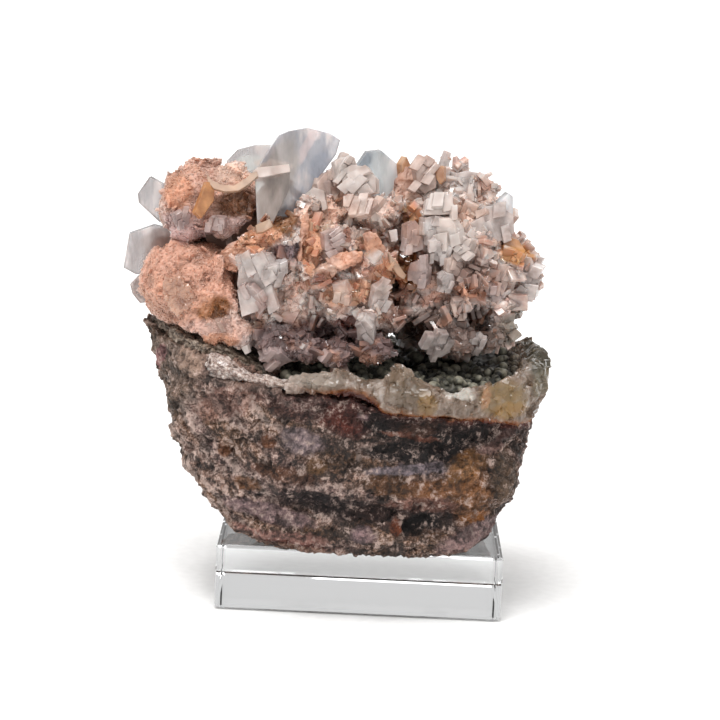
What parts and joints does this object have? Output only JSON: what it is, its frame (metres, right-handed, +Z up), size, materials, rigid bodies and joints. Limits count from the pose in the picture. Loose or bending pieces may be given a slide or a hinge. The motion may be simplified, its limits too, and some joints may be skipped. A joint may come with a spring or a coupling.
{
  "type": "baryte with fluorite on matrix",
  "caption": "Hand-sized mineral specimen: baryte crystal masses and blades on banded matrix rock with a fluorite rim, resting on a clear acrylic block.",
  "frame": {"origin": "middle of the acrylic block's underside", "axes": "+X to the right seen from the front, +Y from the front face to the back, +Z up"},
  "size_m": [0.064, 0.0448, 0.0698],
  "materials": {
    "clear_acrylic": "clear cast acrylic, polished on all faces",
    "banded_matrix": "rough, banded black, brown, lilac and amber rock with sugary druse",
    "fluorite": "translucent grey to honey-yellow crystal, half matt",
    "dark_spherules": "softly glossy dark grey-green spherules",
    "stained_baryte": "sugary crystal crust stained orange",
    "pink_baryte": "translucent pink-grey tabular crystals, glassy faces",
    "glassy_baryte": "see-through blue-grey tabular crystal with fine edge lines"
  },
  "bodies": {
    "root": {"acrylic_stand": "clear_acrylic", "matrix_rock": "banded_matrix", "fluorite_rim": "fluorite", "botryoidal_crust": "dark_spherules", "baryte_left_cluster": "stained_baryte", "baryte_knob_cluster": "stained_baryte", "baryte_centre_cluster": "pink_baryte", "baryte_right_cluster": "pink_baryte", "blade_tall": "glassy_baryte", "blade_back": "glassy_baryte", "blade_grey": "glassy_baryte", "blade_left_upper": "glassy_baryte", "blade_left_lower": "glassy_baryte", "blade_cream": "glassy_baryte", "blade_white": "glassy_baryte"}
  },
  "joints": []
}
